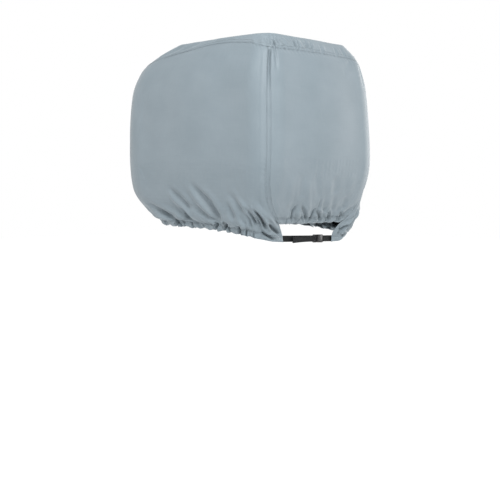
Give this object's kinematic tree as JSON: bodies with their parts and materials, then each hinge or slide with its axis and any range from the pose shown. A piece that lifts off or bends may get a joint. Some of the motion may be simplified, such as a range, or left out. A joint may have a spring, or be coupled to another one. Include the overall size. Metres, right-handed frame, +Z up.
{
  "type": "outboard motor cover",
  "caption": "Fitted grey cloth cover for an upright powerhead, with a domed top, gathered elastic hem, and a buckled webbing strap across an aft notch.",
  "frame": {"origin": "underside of the top, over the middle of the height of the panels, where the covered head holds the cover up", "axes": "+Z up, +Y fore, the cover's length, -Y aft, toward the notch and strap, +X starboard, the cover's width"},
  "size_m": [0.5722, 0.7538, 0.6622],
  "materials": {
    "cloth": "dull coated plain weave, blue grey",
    "webbing": "black polypropylene webbing",
    "buckle": "moulded acetal, satin black"
  },
  "bodies": {
    "root": {"top_panel": "cloth", "aft_panel": "cloth", "port_panel": "cloth", "starboard_panel": "cloth", "strap_webbing": "webbing", "anchor_webbing": "webbing", "buckle_prongs": "buckle", "buckle_socket": "buckle"}
  },
  "joints": []
}
